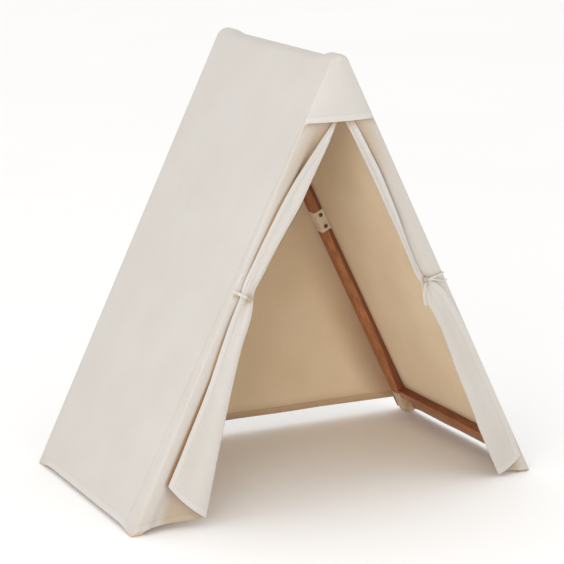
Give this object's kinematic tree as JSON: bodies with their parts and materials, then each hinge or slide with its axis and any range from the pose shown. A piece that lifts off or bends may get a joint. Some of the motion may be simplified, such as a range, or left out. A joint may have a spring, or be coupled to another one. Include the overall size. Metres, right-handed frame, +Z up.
{
  "type": "a-frame play tent",
  "caption": "A-frame play tent: two wooden side frames hinged along the ridge under a canvas cover with a back wall, a short front valance and tied-back door curtains.",
  "frame": {"origin": "on the floor, at the centre of the bounding box's bottom face", "axes": "+X to the right as seen from the door, +Y along the ridge from the door to the back wall, +Z up"},
  "size_m": [1.1996, 0.7024, 1.1966],
  "materials": {
    "wood": "satin stain",
    "canvas": "plain weave cotton",
    "tape": "flat cotton tape",
    "steel": "zinc plated",
    "snap_metal": "antique"
  },
  "bodies": {
    "left_frame": {"back_hinge_left_leaf": "steel", "back_hinge_left_screw_1": "steel", "back_hinge_left_screw_2": "steel", "front_hinge_left_leaf": "steel", "front_hinge_left_screw_1": "steel", "front_hinge_left_screw_2": "steel", "left_back_foot_pocket": "canvas", "left_back_leg": "wood", "left_back_leg_tab": "tape", "left_back_rail_bolt": "steel", "left_back_snap_1": "snap_metal", "left_back_snap_2": "snap_metal", "left_bottom_rail": "wood", "left_door_lower": "canvas", "left_door_upper": "canvas", "left_front_foot_pocket": "canvas", "left_front_leg": "wood", "left_front_leg_tab": "tape", "left_front_rail_bolt": "steel", "left_front_snap_1": "snap_metal", "left_front_snap_2": "snap_metal", "left_front_strip": "canvas", "left_side_panel": "canvas", "left_tie_band": "tape", "left_tie_knot": "tape", "left_top_rail": "wood"},
    "ridge": {"back_hinge_pin": "steel", "back_wall": "canvas", "front_hinge_pin": "steel", "front_valance": "canvas", "ridge_cap": "canvas"},
    "right_frame": {"back_hinge_right_leaf": "steel", "back_hinge_right_screw_1": "steel", "back_hinge_right_screw_2": "steel", "front_hinge_right_leaf": "steel", "front_hinge_right_screw_1": "steel", "front_hinge_right_screw_2": "steel", "right_back_foot_pocket": "canvas", "right_back_leg": "wood", "right_back_leg_tab": "tape", "right_back_rail_bolt": "steel", "right_back_snap_1": "snap_metal", "right_back_snap_2": "snap_metal", "right_bottom_rail": "wood", "right_door_lower": "canvas", "right_door_upper": "canvas", "right_front_foot_pocket": "canvas", "right_front_leg": "wood", "right_front_leg_tab": "tape", "right_front_rail_bolt": "steel", "right_front_snap_1": "snap_metal", "right_front_snap_2": "snap_metal", "right_front_strip": "canvas", "right_side_panel": "canvas", "right_tie_band": "tape", "right_tie_knot": "tape", "right_tie_tail": "tape", "right_top_rail": "wood"}
  },
  "joints": [
    {"name": "left_frame_fold", "type": "hinge", "parent": "left_frame", "child": "ridge", "pos_m": [0, 0, 1.1631], "axis": [0, 1, 0], "range_deg": [0, 22.8]},
    {"name": "right_frame_fold", "type": "hinge", "parent": "ridge", "child": "right_frame", "pos_m": [0, 0, 1.1631], "axis": [0, 1, 0], "range_deg": [0, 22.8]}
  ],
  "couplings": [
    {"joint": "right_frame_fold", "follows": "left_frame_fold", "ratio": 1}
  ]
}
